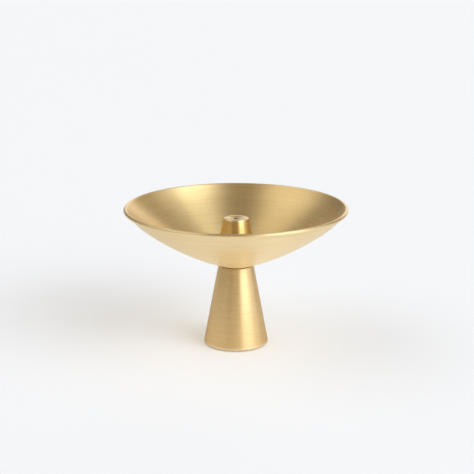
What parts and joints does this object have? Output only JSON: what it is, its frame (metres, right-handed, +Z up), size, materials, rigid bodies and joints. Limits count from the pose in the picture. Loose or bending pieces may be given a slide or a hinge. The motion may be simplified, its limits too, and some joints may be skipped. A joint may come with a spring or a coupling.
{
  "type": "pedestal incense holder",
  "caption": "Wide shallow brass dish on a cone-shaped foot, with a small flat-topped cone in its middle whose narrow hole holds an incense stick.",
  "frame": {"origin": "centre of the foot on the surface it stands on", "axes": "+Z up along the axis of the foot, the dish and the stick cone"},
  "size_m": [0.127, 0.127, 0.0808],
  "materials": {
    "dish_brass": "brushed in circles on a lathe, satin",
    "cone_brass": "fine turned, nearly polished",
    "stem_brass": "fine satin, brushed round the stem",
    "fibre": "matt vulcanised fibre",
    "rod_steel": "rolled thread, zinc plated",
    "plate_steel": "turned mild steel",
    "zinc_steel": "bright zinc plated",
    "felt": "pressed wool felt"
  },
  "bodies": {
    "pedestal": {"dish": "dish_brass", "stem_shell": "stem_brass", "stem_gasket": "fibre", "tie_rod": "rod_steel", "base_plate": "plate_steel", "clamp_washer": "zinc_steel", "spring_washer": "zinc_steel", "hex_nut": "zinc_steel", "felt_pad": "felt"},
    "washer": {"cone_washer": "fibre"},
    "cone": {"stick_cone": "cone_brass"}
  },
  "joints": [
    {"name": "cone_turn", "type": "hinge", "parent": "pedestal", "child": "washer", "pos_m": [0, 0, 0.0483], "axis": [0, 0, 1], "range_deg": [0, 2520]},
    {"name": "cone_rise", "type": "slide", "parent": "washer", "child": "cone", "axis": [0, 0, 1], "range_m": [0, 0.007]}
  ],
  "couplings": [
    {"joint": "cone_turn", "follows": "cone_rise", "rad_per_m": 6283.2}
  ]
}
